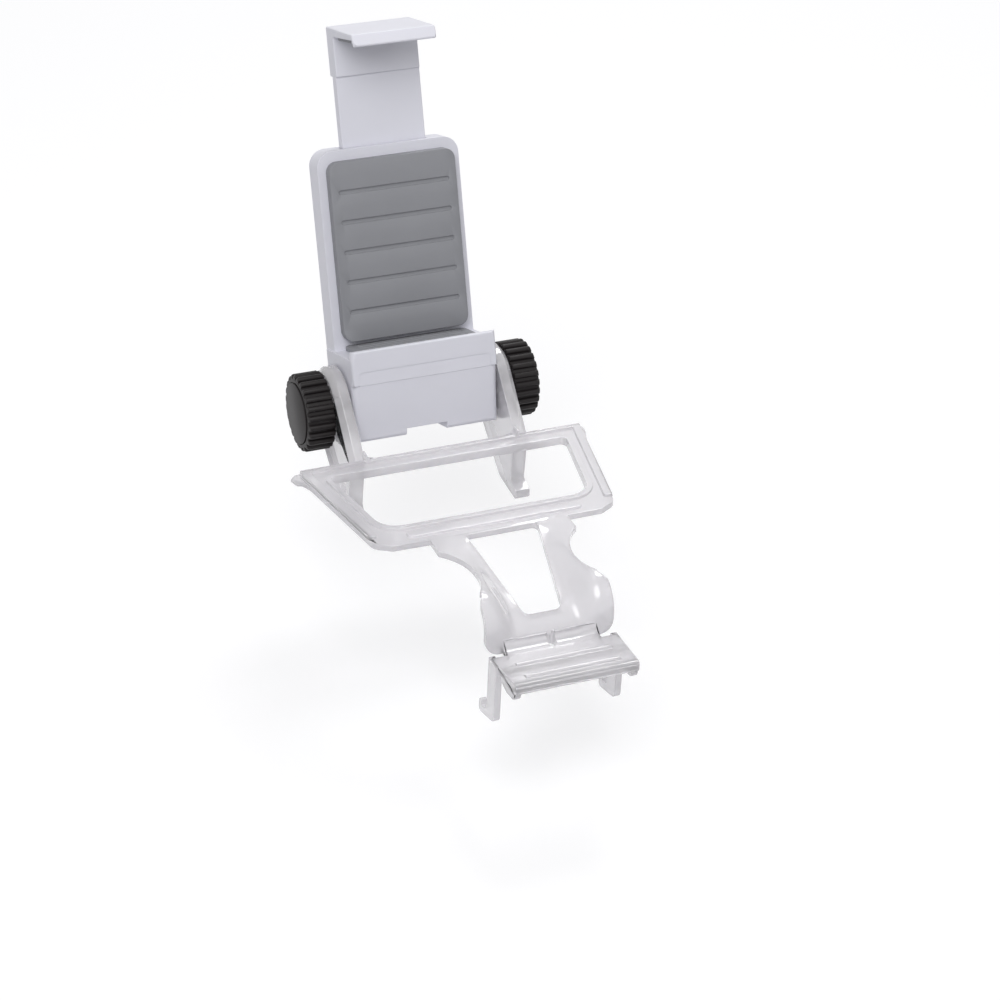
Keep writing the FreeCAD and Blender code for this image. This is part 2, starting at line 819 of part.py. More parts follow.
def upper_jaw():
    plate_under = jaw_under + jaw_pad_thickness
    lip_end = plate_under - jaw_lip_drop - jaw_pad_thickness
    hook = side_prism([
        (clamp_rear, jaw_top + 0.6, 0.8),
        (-jaw_front_top, jaw_top - 0.3, 0.5),
        (-jaw_front_bottom, lip_end, 0.4),
        (-jaw_front_bottom + jaw_lip_wall, lip_end, 0.3),
        (-jaw_front_bottom + jaw_lip_wall + 0.4, plate_under, 0),
        (channel_front, plate_under, 0.5),
        (channel_front, leg_bottom, 0.4),
        (clamp_rear, leg_bottom, 0.6),
    ], -jaw_half, jaw_half)
    outline = plan_prism([
        (jaw_half, clamp_rear, 0.8),
        (jaw_half, -jaw_front_top + 2.5, 0),
        (jaw_tip_half, -jaw_front_bottom, jaw_corner),
        (-jaw_tip_half, -jaw_front_bottom, jaw_corner),
        (-jaw_half, -jaw_front_top + 2.5, 0),
        (-jaw_half, clamp_rear, 0.8),
    ], leg_bottom - 1, jaw_top + 3)
    bar = block(-bar_half, bar_half, bar_middle - bar_thickness / 2, bar_middle + bar_thickness / 2,
                bar_bottom, leg_bottom + 2)
    shape = hook.common(outline).fuse(bar)
    depth = pin_seat
    for hand in (-1, 1):
        start = hand * (bar_half - depth)
        shape = shape.cut(rod(pin_radius, vec(start, bar_middle, upper_pin_z), X_AXIS * hand, far))
    return shape


def grooved_pad(x_half, y0, y1, z0, z1, across):
    # A soft pad with grooves in the face that meets the phone.
    pad = block(-x_half, x_half, y0, y1, z0, z1)
    for i in range(pad_grooves):
        share = (i + 1) / (pad_grooves + 1)
        if across == "y":
            z = z0 + (z1 - z0) * share
            groove = block(-x_half + 2, x_half - 2, y0 - 1, y0 + pad_groove,
                           z - pad_groove_width / 2, z + pad_groove_width / 2)
        else:
            y = y0 + (y1 - y0) * share
            groove = block(-x_half + 2, x_half - 2, y - pad_groove_width / 2,
                           y + pad_groove_width / 2, z1 - pad_groove, z1 + 1)
        pad = pad.cut(groove)
    return pad


def lower_jaw_pad():
    return grooved_pad(body_half - 3, -phone_face + front_inset + 0.1, back_wall_front - 0.1,
                       ledge_height, ledge_height + pad_thickness, "z")


def back_pad():
    return grooved_pad(housing_half - 2, back_wall_front - back_pad_thickness, back_wall_front,
                       phone_floor + 1, housing_top - 2.5, "y")


def upper_jaw_pad():
    return block(-jaw_half + 0.8, jaw_half - 0.8, -jaw_front_bottom + jaw_lip_wall + 0.6,
                 channel_front - 0.8, jaw_under, jaw_under + jaw_pad_thickness)


def spring(hand):
    # The coil as a thin tube with a flat eye round each pin.
    x = hand * spring_x
    reach = pin_radius + pin_seat / 2
    low = lower_pin_z + reach
    high = upper_pin_z - reach
    shape = rod(spring_radius, vec(x, bar_middle, low), Z_AXIS, high - low)
    shape = shape.cut(rod(spring_radius - spring_wire, vec(x, bar_middle, low - 1), Z_AXIS,
                          high - low + 2))
    half = spring_wire / 2
    width = spring_radius - half
    for z, end in ((lower_pin_z, low), (upper_pin_z, high)):
        side_z = reach if end > z else -reach
        eye = block(x - half, x + half, bar_middle - width, bar_middle + width,
                    min(z - side_z * 0.7, end + side_z * 0.2), max(z - side_z * 0.7, end + side_z * 0.2))
        eye = eye.cut(rod(pin_radius + spring_wire / 2, vec(x - 1, bar_middle, z), X_AXIS, 2))
        shape = shape.fuse(eye)
    return shape


def spring_pins():
    pins = []
    for hand in (-1, 1):
        end = spring_channel_half + pin_seat
        start = vec(hand * end, bar_middle, lower_pin_z)
        pins.append(rod(pin_radius, start, X_AXIS * -hand, end - slot_half - pin_end_gap))
    return Part.makeCompound(pins)


def jaw_pins():
    pins = []
    for hand in (-1, 1):
        inner = bar_half - pin_seat
        start = vec(hand * inner, bar_middle, upper_pin_z)
        pins.append(rod(pin_radius, start, X_AXIS * hand,
                        spring_channel_half - pin_end_gap - inner))
    return Part.makeCompound(pins)


# The screw line, drawn on the right and mirrored for the left
knob_inner = arm_outer + knob_gap
knob_outer = knob_inner + knob_thickness
washer_inner = arm_outer + seat_gap
washer_outer = washer_inner + washer_thickness
head_inner = washer_outer + seat_gap
head_outer = head_inner + screw_head


def knob_cap():
    # A knurled knob with straight ribs, a bevelled rim and a raised face.
    step = 2 * math.pi / knob_ribs
    corners = []
    for i in range(knob_ribs):
        for share, reach in ((-0.4, knob_core), (-0.2, knob_radius), (0.2, knob_radius), (0.4, knob_core)):
            angle = step * (i + share)
            corners.append((reach * math.cos(angle), reach * math.sin(angle), 0))
    ribbed = side_prism(corners, knob_inner, knob_outer - knob_edge)
    rim = Part.makeCone(knob_core, knob_core - knob_edge, knob_edge,
                        vec(knob_outer - knob_edge, 0, 0), X_AXIS)
    face = rod(knob_face_radius, vec(knob_outer, 0, 0), X_AXIS, knob_face_rise)
    shape = ribbed.fuse([rim, face])
    recess = rod(washer_radius + knob_wall, vec(knob_inner - 1, 0, 0), X_AXIS,
                 1 + head_inner - knob_inner)
    pocket = hexagon(hex_across + 2 * hex_clearance, knob_inner, head_outer + hex_clearance)
    return shape.cut(recess.fuse(pocket))


def knob_screw():
    head = hexagon(hex_across, head_inner, head_outer)
    tip_x = head_inner - screw_length
    shank = rod(screw_radius, vec(tip_x, 0, 0), X_AXIS, screw_length)
    tip = [edge for edge in shank.Edges if edge.CenterOfMass.x < tip_x + 0.01]
    return shank.makeChamfer(0.4, tip[:1]).fuse(head)


def washer():
    ring = rod(washer_radius, vec(washer_inner, 0, 0), X_AXIS, washer_thickness)
    return ring.cut(rod(screw_radius + screw_run, vec(washer_inner - 1, 0, 0), X_AXIS, 5))


def friction_disc():
    start = body_half - disc_recess + seat_gap
    ring = rod(disc_radius, vec(start, 0, 0), X_AXIS, arm_inner - seat_gap - start)
    return ring.cut(rod(screw_radius + screw_run, vec(start - 1, 0, 0), X_AXIS, 5))


def nut():
    outer = body_half - nut_wall - disc_recess - seat_gap
    shape = hexagon(hex_across, outer - nut_thickness, outer)
    return shape.cut(rod(screw_radius + screw_run, vec(outer - nut_thickness - 1, 0, 0), X_AXIS, 6))


def write(name, shape):
    solids = len(shape.Solids)
    print(name, "solids", solids, "volume", round(shape.Volume, 1), "valid", shape.isValid())
    shape.exportStep("parts/" + name + ".step")


def main():
    os.makedirs("parts", exist_ok=True)
    write("base_frame", base_frame())
    write("clamp_body", tilted(clamp_body()))
    write("clamp_cover", tilted(clamp_cover()))
    write("cover_screws", tilted(cover_screws()))
    write("upper_jaw", tilted(upper_jaw()))
    write("lower_jaw_pad", tilted(lower_jaw_pad()))
    write("back_pad", tilted(back_pad()))
    write("upper_jaw_pad", tilted(upper_jaw_pad()))
    write("spring_pins", tilted(spring_pins()))
    write("jaw_pins", tilted(jaw_pins()))
    for name, hand in (("left", -1), ("right", 1)):
        write("spring_" + name, tilted(spring(hand)))
        pieces = {
            "knob_cap_": knob_cap(),
            "knob_screw_": knob_screw(),
            "washer_": washer(),
            "friction_disc_": friction_disc(),
            "nut_": nut(),
        }
        for prefix, shape in pieces.items():
            if hand < 0:
                shape = mirrored(shape)
            write(prefix + name, tilted(shape))


main()
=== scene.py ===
import math

import bmesh
import bpy
from mathutils import Matrix, Vector


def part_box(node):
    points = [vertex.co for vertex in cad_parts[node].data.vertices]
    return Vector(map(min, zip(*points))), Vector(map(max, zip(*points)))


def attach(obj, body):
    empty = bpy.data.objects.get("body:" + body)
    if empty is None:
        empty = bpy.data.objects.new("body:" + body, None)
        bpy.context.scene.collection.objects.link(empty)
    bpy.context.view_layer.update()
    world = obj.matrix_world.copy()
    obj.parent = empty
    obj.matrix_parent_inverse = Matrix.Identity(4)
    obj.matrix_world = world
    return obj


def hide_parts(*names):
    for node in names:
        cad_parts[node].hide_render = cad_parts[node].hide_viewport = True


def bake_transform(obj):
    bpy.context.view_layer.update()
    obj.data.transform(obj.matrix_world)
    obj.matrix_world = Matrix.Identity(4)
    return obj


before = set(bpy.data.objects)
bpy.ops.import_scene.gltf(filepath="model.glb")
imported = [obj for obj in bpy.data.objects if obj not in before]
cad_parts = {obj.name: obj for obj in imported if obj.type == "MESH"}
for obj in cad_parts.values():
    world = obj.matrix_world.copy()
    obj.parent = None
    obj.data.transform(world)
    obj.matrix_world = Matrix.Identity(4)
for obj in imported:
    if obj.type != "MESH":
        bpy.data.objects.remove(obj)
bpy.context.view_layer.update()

mm = 0.001
tilt = math.radians(18.5)  # how far the clamp leans back
pivot = Vector((0, 21.8, 6.0)) * mm  # the knob screws' line
# From the clamp's own upright frame, in mm about the pivot, to its place.
clampPlace = Matrix.Translation(pivot) @ Matrix.Rotation(-tilt, 4, "X") @ Matrix.Scale(mm, 4)


def linear(code):
    # sRGB hex to linear RGBA
    shades = [int(code[i:i + 2], 16) / 255 for i in (1, 3, 5)]
    return [c / 12.92 if c <= 0.04045 else ((c + 0.055) / 1.055) ** 2.4 for c in shades] + [1.0]


def addNode(tree, kind, values=None, links=None, **settings):
    # A node with its settings, its socket values and the sockets that feed it.
    node = tree.nodes.new(kind)
    for name, setting in settings.items():
        setattr(node, name, setting)
    for key, value in (values or {}).items():
        node.inputs[key].default_value = value
    for key, source in (links or {}).items():
        tree.links.new(source, node.inputs[key])
    return node


# Camera at the photograph's angle
view = {
    "place": (-0.2328, -0.5706, 0.3698),
    "ahead": (0.3387, 0.7805, -0.5254),
    "upward": (0.1658, 0.5002, 0.8499),
    "lens": 108.4,  # mm, for the film's width
    "film": 36,
    "near": 0.05,
    "far": 20,
}


def makeCamera():
    camera = bpy.data.objects.new("camera", bpy.data.cameras.new("camera"))
    bpy.context.scene.collection.objects.link(camera)
    ahead = Vector(view["ahead"]).normalized()
    right = ahead.cross(Vector(view["upward"])).normalized()
    up = right.cross(ahead)
    turn = Matrix((right, up, -ahead)).transposed().to_4x4()
    camera.matrix_world = Matrix.Translation(view["place"]) @ turn
    camera.data.lens = view["lens"]
    camera.data.sensor_width = view["film"]
    camera.data.clip_start = view["near"]
    camera.data.clip_end = view["far"]
    bpy.context.scene.camera = camera


makeCamera()
print("camera done")


# Finishes
surface = {
    "driftScale": 90.0,  # of the slow change in colour and gloss over a piece
    "driftDetail": 3.0,
    "driftLow": 0.3,
    "driftHigh": 0.7,
    "glossDrift": 0.05,
    "grainDetail": 2.0,
    "bump": 0.5,
    "markDetail": 4.0,  # of the fine marks on metal
    "markBright": 0.08,
    "markDull": 0.1,
}


def moulded(name, colour, rough, grainMm, grainDepth, spread=0.04, **extra):
    # A moulded plastic or rubber: slight colour drift, uneven gloss and the mould's grain.
    material = bpy.data.materials.new(name)
    material.use_nodes = True
    tree = material.node_tree
    shader = tree.nodes["Principled BSDF"]
    place = addNode(tree, "ShaderNodeTexCoord")
    drift = addNode(tree, "ShaderNodeTexNoise",
                    {"Scale": surface["driftScale"], "Detail": surface["driftDetail"]},
                    {"Vector": place.outputs["Object"]})
    tones = addNode(tree, "ShaderNodeValToRGB", None, {"Fac": drift.outputs["Fac"]})
    base = linear(colour)
    dark, pale = tones.color_ramp.elements
    dark.position = surface["driftLow"]
    pale.position = surface["driftHigh"]
    dark.color = [c * (1 - spread) for c in base[:3]] + [1]
    pale.color = [min(1.0, c * (1 + spread)) for c in base[:3]] + [1]
    tree.links.new(tones.outputs["Color"], shader.inputs["Base Color"])
    grain = addNode(tree, "ShaderNodeTexNoise",
                    {"Scale": 1 / (grainMm * mm), "Detail": surface["grainDetail"]},
                    {"Vector": place.outputs["Object"]})
    gloss = addNode(tree, "ShaderNodeMapRange",
                    {"To Min": rough - surface["glossDrift"], "To Max": rough + surface["glossDrift"]},
                    {"Value": drift.outputs["Fac"]})
    tree.links.new(gloss.outputs["Result"], shader.inputs["Roughness"])
    bump = addNode(tree, "ShaderNodeBump",
                   {"Strength": surface["bump"], "Distance": grainDepth * mm},
                   {"Height": grain.outputs["Fac"]})
    tree.links.new(bump.outputs["Normal"], shader.inputs["Normal"])
    for socket, value in extra.items():
        shader.inputs[socket.replace("_", " ")].default_value = value
    return material


def metal(name, colour, rough, brushMm):
    # A bare or plated metal whose gloss varies with its fine marks.
    material = bpy.data.materials.new(name)
    material.use_nodes = True
    tree = material.node_tree
    shader = tree.nodes["Principled BSDF"]
    shader.inputs["Metallic"].default_value = 1.0
    shader.inputs["Base Color"].default_value = linear(colour)
    place = addNode(tree, "ShaderNodeTexCoord")
    marks = addNode(tree, "ShaderNodeTexNoise",
                    {"Scale": 1 / (brushMm * mm), "Detail": surface["markDetail"]},
                    {"Vector": place.outputs["Object"]})
    gloss = addNode(tree, "ShaderNodeMapRange",
                    {"To Min": rough - surface["markBright"], "To Max": rough + surface["markDull"]},
                    {"Value": marks.outputs["Fac"]})
    tree.links.new(gloss.outputs["Result"], shader.inputs["Roughness"])
    return material


# Injection-moulded polycarbonate, polished tool: clear with a milky cast, sharp highlights.
milkyPolycarbonate = moulded("milkyPolycarbonate", "#E9E7EB", 0.1, 3.0, 0.01, 0.012,
                             IOR=1.58, Alpha=0.82, Transmission_Weight=0.52,
                             Coat_Weight=0.7, Coat_Roughness=0.06)
# White ABS from a fine-textured tool: satin, faintly cool.
satinAbs = moulded("satinAbs", "#E2E2EB", 0.42, 0.25, 0.006, 0.012)
# Black ABS, spark-eroded tool: a dull warm black.
dullBlackAbs = moulded("dullBlackAbs", "#1A1617", 0.46, 0.3, 0.012, 0.08,
                       Specular_IOR_Level=0.27)
# Grey silicone rubber: soft sheen, no sharp highlight.
greySilicone = moulded("greySilicone", "#8E8F94", 0.62, 0.35, 0.02, 0.03)
# Grey fibre discs that give the tilt its friction: matt.
greyFibre = moulded("greyFibre", "#818184", 0.7, 0.2, 0.02, 0.05)
# Zinc-plated steel: pale and slightly blue.
zincSteel = metal("zincSteel", "#C6C9CE", 0.3, 0.6)
# Drawn spring wire: grey with a soft shine.
springSteel = metal("springSteel", "#A9ABB0", 0.28, 0.5)
# Black-oxide steel: dark with an oiled sheen.
blackOxideSteel = metal("blackOxideSteel", "#4A4B50", 0.38, 0.5)
print("finishes done")


# Mesh tools
past = 1  # mm that a cutting form reaches past the face it cuts


def bar(outline, run):
    # A straight solid: an outline's points carried along a vector.
    shape = bmesh.new()
    near = [shape.verts.new(p) for p in outline]
    far = [shape.verts.new(Vector(p) + Vector(run)) for p in outline]
    shape.faces.new(near)
    shape.faces.new(far)
    for i in range(len(near)):
        j = (i + 1) % len(near)
        shape.faces.new((near[i], near[j], far[j], far[i]))
    return shape


def turned(profile, steps):
    # A form turned about the X axis, from (x, radius) points.
    shape = bmesh.new()
    rings = []
    for x, radius in profile:
        count = steps if radius > 0 else 1
        angles = [2 * math.pi * i / count for i in range(count)]
        rings.append([shape.verts.new((x, radius * math.cos(a), radius * math.sin(a)))
                      for a in angles])
    for first, second in zip(rings, rings[1:]):
        for i in range(steps):
            corners = [first[i % len(first)], first[(i + 1) % len(first)],
                       second[(i + 1) % len(second)], second[i % len(second)]]
            corners = list(dict.fromkeys(corners))
            if len(corners) > 2:
                shape.faces.new(corners)
    return shape


def roundedRectangle(halfWide, halfHigh, radius, steps=6):
    # (u, v) points of a rectangle with round corners.
    points = []
    for quarter, (u, v) in enumerate(((1, 1), (-1, 1), (-1, -1), (1, -1))):
        for i in range(steps + 1):
            angle = math.pi / 2 * (quarter + i / steps)
            points.append((u * (halfWide - radius) + radius * math.cos(angle),
                           v * (halfHigh - radius) + radius * math.sin(angle)))
    return points


def pieceFrom(shape, name, finish):
    # A new smooth object from a bmesh, with its faces outward.
    bmesh.ops.recalc_face_normals(shape, faces=shape.faces)
    mesh = bpy.data.meshes.new(name)
    shape.to_mesh(mesh)
    shape.free()
    mesh.materials.append(finish)
    mesh.polygons.foreach_set("use_smooth", [True] * len(mesh.polygons))
    piece = bpy.data.objects.new(name, mesh)
    bpy.context.scene.collection.objects.link(piece)
    return piece


def plainMesh(piece):
    # The evaluated object as a plain mesh without modifiers.
    bpy.context.view_layer.update()
    current = piece.evaluated_get(bpy.context.evaluated_depsgraph_get())
    mesh = bpy.data.meshes.new_from_object(current)
    piece.modifiers.clear()
    piece.data = mesh
    return piece


def carve(piece, shape):
    # Takes a cutting form out of a piece.
    cutter = pieceFrom(shape, "cutter", piece.data.materials[0])
    cut = piece.modifiers.new("carve", "BOOLEAN")
    cut.operation = "DIFFERENCE"
    cut.solver = "EXACT"
    cut.object = cutter
    plainMesh(piece)
    bpy.data.objects.remove(cutter)


def easeEdges(piece, edge, angle, segments=2):
    # Rounds over the edges that turn by more than an angle in degrees.
    bevel = piece.modifiers.new("edges", "BEVEL")
    bevel.width = edge
    bevel.segments = segments
    bevel.limit_method = "ANGLE"
    bevel.angle_limit = math.radians(angle)
    bevel.use_clamp_overlap = False
    bevel.harden_normals = True
    plainMesh(piece)


def settle(piece, body, slot, *nodes):
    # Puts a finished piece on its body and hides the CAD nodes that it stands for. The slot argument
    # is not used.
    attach(piece, body)
    if nodes:
        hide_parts(*nodes)


def newTree(name, inputs):
    # A new geometry tree with named inputs, and the node that gives them.
    tree = bpy.data.node_groups.new(name, "GeometryNodeTree")
    tree.interface.new_socket("Geometry", in_out="INPUT", socket_type="NodeSocketGeometry")
    for title, kind in inputs:
        tree.interface.new_socket(title, in_out="INPUT", socket_type="NodeSocket" + kind)
    tree.interface.new_socket("Geometry", in_out="OUTPUT", socket_type="NodeSocketGeometry")
    return tree, addNode(tree, "NodeGroupInput")


def closeTree(tree, given, geometry):
    # Ends a tree in real, smooth geometry with its finish.
    whole = addNode(tree, "GeometryNodeRealizeInstances", None, {"Geometry": geometry})
    smooth = addNode(tree, "GeometryNodeSetShadeSmooth", None, {"Geometry": whole.outputs[0]})
    dressed = addNode(tree, "GeometryNodeSetMaterial", None,
                      {"Geometry": smooth.outputs[0], "Material": given.outputs["Finish"]})
    addNode(tree, "NodeGroupOutput", None, {"Geometry": dressed.outputs[0]})
    return tree


def grow(piece, tree, values):
    # Runs a tree on a piece with its named sizes and keeps the plain result.
    modifier = piece.modifiers.new(tree.name, "NODES")
    modifier.node_group = tree
    given = [item for item in tree.interface.items_tree if item.in_out == "INPUT"]
    names = {item.name: item.identifier for item in given}
    for name, value in values.items():
        modifier[names[name]] = value
    return plainMesh(piece)


def repeatTree():
    # Copies of a form, each one step and one turn on from the last.
    tree, given = newTree("repeatForm", [("Count", "Int"), ("Step", "Vector"), ("Turn", "Vector"),
                                         ("Finish", "Material")])
    index = addNode(tree, "GeometryNodeInputIndex")
    offset = addNode(tree, "ShaderNodeVectorMath", None,
                     {"Vector": given.outputs["Step"], "Scale": index.outputs[0]}, operation="SCALE")
    turning = addNode(tree, "ShaderNodeVectorMath", None,
                      {"Vector": given.outputs["Turn"], "Scale": index.outputs[0]}, operation="SCALE")
    spots = addNode(tree, "GeometryNodePoints", None,
                    {"Count": given.outputs["Count"], "Position": offset.outputs[0]})
    copies = addNode(tree, "GeometryNodeInstanceOnPoints", None,
                     {"Points": spots.outputs[0], "Instance": given.outputs["Geometry"],
                      "Rotation": turning.outputs[0]})
    return closeTree(tree, given, copies.outputs[0])


def springTree():
    # A close-wound extension spring with an eye at each end, upright from its lower pin.
    tree, given = newTree("extensionSpring", [("Turns", "Float"), ("Coil", "Float"), ("Wire", "Float"),
                                              ("Eye", "Float"), ("Reach", "Float"),
                                              ("Length", "Float"), ("Finish", "Material")])
    body = addNode(tree, "ShaderNodeMath", None,
                   {0: given.outputs["Length"], 1: given.outputs["Reach"]}, operation="SUBTRACT")
    body = addNode(tree, "ShaderNodeMath", None,
                   {0: body.outputs[0], 1: given.outputs["Reach"]}, operation="SUBTRACT")
    helix = addNode(tree, "GeometryNodeCurveSpiral", {"Resolution": 20},
                    {"Rotations": given.outputs["Turns"], "Start Radius": given.outputs["Coil"],
                     "End Radius": given.outputs["Coil"], "Height": body.outputs[0]})
    lift = addNode(tree, "ShaderNodeCombineXYZ", None, {"Z": given.outputs["Reach"]})
    helix = addNode(tree, "GeometryNodeTransform", None,
                    {"Geometry": helix.outputs[0], "Translation": lift.outputs[0]})
    ring = addNode(tree, "GeometryNodeCurvePrimitiveCircle", {"Resolution": 20},
                   {"Radius": given.outputs["Eye"]})
    ring = addNode(tree, "GeometryNodeTransform", {"Rotation": (0, math.pi / 2, 0)},
                   {"Geometry": ring.outputs[0]})
    eyeTop = addNode(tree, "ShaderNodeCombineXYZ", None, {"Z": given.outputs["Eye"]})
    neck = addNode(tree, "GeometryNodeCurvePrimitiveLine", None,
                   {"Start": eyeTop.outputs[0], "End": lift.outputs[0]})
    arm = addNode(tree, "ShaderNodeCombineXYZ", None,
                  {"X": given.outputs["Coil"], "Z": given.outputs["Reach"]})
    crank = addNode(tree, "GeometryNodeCurvePrimitiveLine", None,
                    {"Start": lift.outputs[0], "End": arm.outputs[0]})
    end = addNode(tree, "GeometryNodeJoinGeometry")
    for source in (ring, neck, crank):
        tree.links.new(source.outputs[0], end.inputs[0])
    height = addNode(tree, "ShaderNodeCombineXYZ", None, {"Z": given.outputs["Length"]})
    upper = addNode(tree, "GeometryNodeTransform", {"Rotation": (math.pi, 0, 0)},
                    {"Geometry": end.outputs[0], "Translation": height.outputs[0]})
    path = addNode(tree, "GeometryNodeJoinGeometry")
    for source in (helix, end, upper):
        tree.links.new(source.outputs[0], path.inputs[0])
    section = addNode(tree, "GeometryNodeCurvePrimitiveCircle", {"Resolution": 8},
                      {"Radius": given.outputs["Wire"]})
    wire = addNode(tree, "GeometryNodeCurveToMesh", {"Fill Caps": True},
                   {"Curve": path.outputs[0], "Profile Curve": section.outputs[0]})
    return closeTree(tree, given, wire.outputs[0])


repeatForm = repeatTree()
extensionSpring = springTree()


# Moulded shells, each a merged copy of its CAD node with the edges eased
shell = {
    "double": 0.002,  # points nearer than this many mm are one
    "flat": 0.6,  # faces within this many degrees are one
    "shortest": 0.05,  # edges under this many mm are merged, so that the easing stays even
    "angle": 50,  # edges that turn by more degrees than this are eased
    "bracketAngle": 28,
    "bracketEdge": 0.18,
    "bodyEdge": 0.13,
    "coverEdge": 0.2,
    "jawEdge": 0.3,
}

lipRecess = {  # the shallow step across the lower part of the lip's face, in mm
    "halfWide": 16.8,
    "bottom": 5.6,
    "top": 9.7,
    "corner": 0.9,
    "faceAtBottom": -10.65,
    "lipBottom": 6.4,
    "lean": 0.75 / 8.5,
    "depth": 0.2,
    "clear": 3,  # how far in front of the face the cutting form reaches
}


def shellFrom(name, node, finish):
    # A cleaned copy of a CAD node, so that its edges can be eased.
    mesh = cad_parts[node].data.copy()
    shape = bmesh.new()
    shape.from_mesh(mesh)
    bmesh.ops.remove_doubles(shape, verts=shape.verts, dist=shell["double"] * mm)
    bmesh.ops.dissolve_limit(shape, angle_limit=math.radians(shell["flat"]), verts=shape.verts,
                             edges=shape.edges)
    bmesh.ops.remove_doubles(shape, verts=shape.verts, dist=shell["shortest"] * mm)
    shape.to_mesh(mesh)
    shape.free()
    mesh.name = name
    mesh.materials.clear()
    mesh.materials.append(finish)
    mesh.polygons.foreach_set("use_smooth", [True] * len(mesh.polygons))
    piece = bpy.data.objects.new(name, mesh)
    bpy.context.scene.collection.objects.link(piece)
    return piece


def recessForm():
    # What is cut from the lip's face.
    r = lipRecess
    middle = (r["top"] + r["bottom"]) / 2
    outline = []
    for u, v in roundedRectangle(r["halfWide"], (r["top"] - r["bottom"]) / 2, r["corner"]):
        height = middle + v
        face = r["faceAtBottom"] - r["lean"] * (height - r["lipBottom"])
        outline.append((u, face + r["depth"], height))
    shape = bar(outline, (0, -r["clear"], 0))
    bmesh.ops.transform(shape, matrix=clampPlace, verts=shape.verts)
    return shape


def easeShell(piece, edgeMm, node, angle=shell["angle"], cut=None):
    # Eases a shell's edges, keeps it in its node's box, takes a cut and shades its flats evenly.
    easeEdges(piece, edgeMm * mm, angle)
    low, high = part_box(node)
    for vertex in piece.data.vertices:
        for i in range(3):
            vertex.co[i] = max(low[i], min(high[i], vertex.co[i]))
    if cut:
        carve(piece, cut)
    piece.data.set_sharp_from_angle(angle=math.radians(angle))
    even = piece.modifiers.new("evenFlats", "WEIGHTED_NORMAL")
    even.mode = "FACE_AREA"
    even.keep_sharp = True
    plainMesh(piece)


clearBracket = shellFrom("clearBracket", "base_frame", milkyPolycarbonate)
easeShell(clearBracket, shell["bracketEdge"], "base_frame", angle=shell["bracketAngle"])
settle(clearBracket, "base", "clear", "base_frame")

clampShell = shellFrom("clampShell", "clamp_body", satinAbs)
easeShell(clampShell, shell["bodyEdge"], "clamp_body", cut=recessForm())
settle(clampShell, "clamp", "white", "clamp_body")

clampCover = shellFrom("clampCover", "clamp_cover", satinAbs)
easeShell(clampCover, shell["coverEdge"], "clamp_cover")
settle(clampCover, "clamp", "white", "clamp_cover")

slidingJaw = shellFrom("slidingJaw", "upper_jaw", satinAbs)
easeShell(slidingJaw, shell["jawEdge"], "upper_jaw")
settle(slidingJaw, "jaw", "white", "upper_jaw")
print("moulded shells done")


# Knobs: a turned core with ribs round it, in mm along the screw line
knob = {
    "inner": 23.0,
    "outer": 29.8,
    "core": 8.6,
    "radius": 9.5,
    "innerEdge": 0.25,
    "ribs": 24,
    "ribFoot": 0.33,  # half width of a rib at the core, as a share of the pitch
    "ribTop": 0.29,  # the same at the crown's foot
    "ribSteps": 3,  # facets on each half of a rib's crown
    "crownBend": 0.94,  # share of a half circle that the crown takes
    "crownFoot": 0.25,  # share of a rib's height that stands straight
    "ribSunk": 0.4,  # how far a rib reaches into the core
    "ribRows": [  # the end that a row is measured from, the distance and the crown's drop
        ("inner", 0.05, 0.4), ("inner", 0.3, 0), ("outer", -0.65, 0),
        ("outer", -0.3, 0.192), ("outer", -0.08, 0.672),
    ],
    "rim": 0.55,
    "rimSteps": 4,
    "seam": 0.25,  # the fine groove between face and rim
    "face": 7.4,
    "faceRise": 0.35,
    "faceEdge": 0.12,
    "faceEdgeWide": 0.2,
    "washerRoom": 5.2,
    "headStart": 23.65,
    "headEnd": 26.48,
    "hexAcross": 7.06,
    "steps": 96,
    "sharp": 35,  # edges that turn by more degrees than this are shaded sharp
}


def knobCore():
    # The turned body with its raised face, room for the washer and a pocket for the hexagon head.
    k = knob
    edge = k["innerEdge"]
    groove = k["outer"] - k["seam"]
    top = k["outer"] + k["faceRise"]
    profile = [(k["headStart"], 0), (k["headStart"], k["washerRoom"]),
               (k["inner"], k["washerRoom"]), (k["inner"], k["core"] - edge),
               (k["inner"] + edge, k["core"]), (k["outer"] - k["rim"], k["core"])]
    for i in range(1, k["rimSteps"] + 1):
        angle = math.pi / 2 * i / k["rimSteps"]
        profile.append((k["outer"] - k["rim"] * (1 - math.sin(angle)),
                        k["core"] - k["rim"] * (1 - math.cos(angle))))
    profile += [(k["outer"], k["face"] + k["seam"]), (groove, k["face"] + k["seam"]),
                (groove, k["face"]), (top - k["faceEdge"], k["face"]),
                (top, k["face"] - k["faceEdgeWide"]), (top, 0)]
    core = pieceFrom(turned(profile, k["steps"]), "knobCore", dullBlackAbs)
    reach = k["hexAcross"] / math.sqrt(3)
    angles = [math.pi / 3 * i for i in range(6)]
    start = k["headStart"] - past
    corners = [(start, reach * math.cos(a), reach * math.sin(a)) for a in angles]
    carve(core, bar(corners, (k["headEnd"] - start, 0, 0)))
    return core


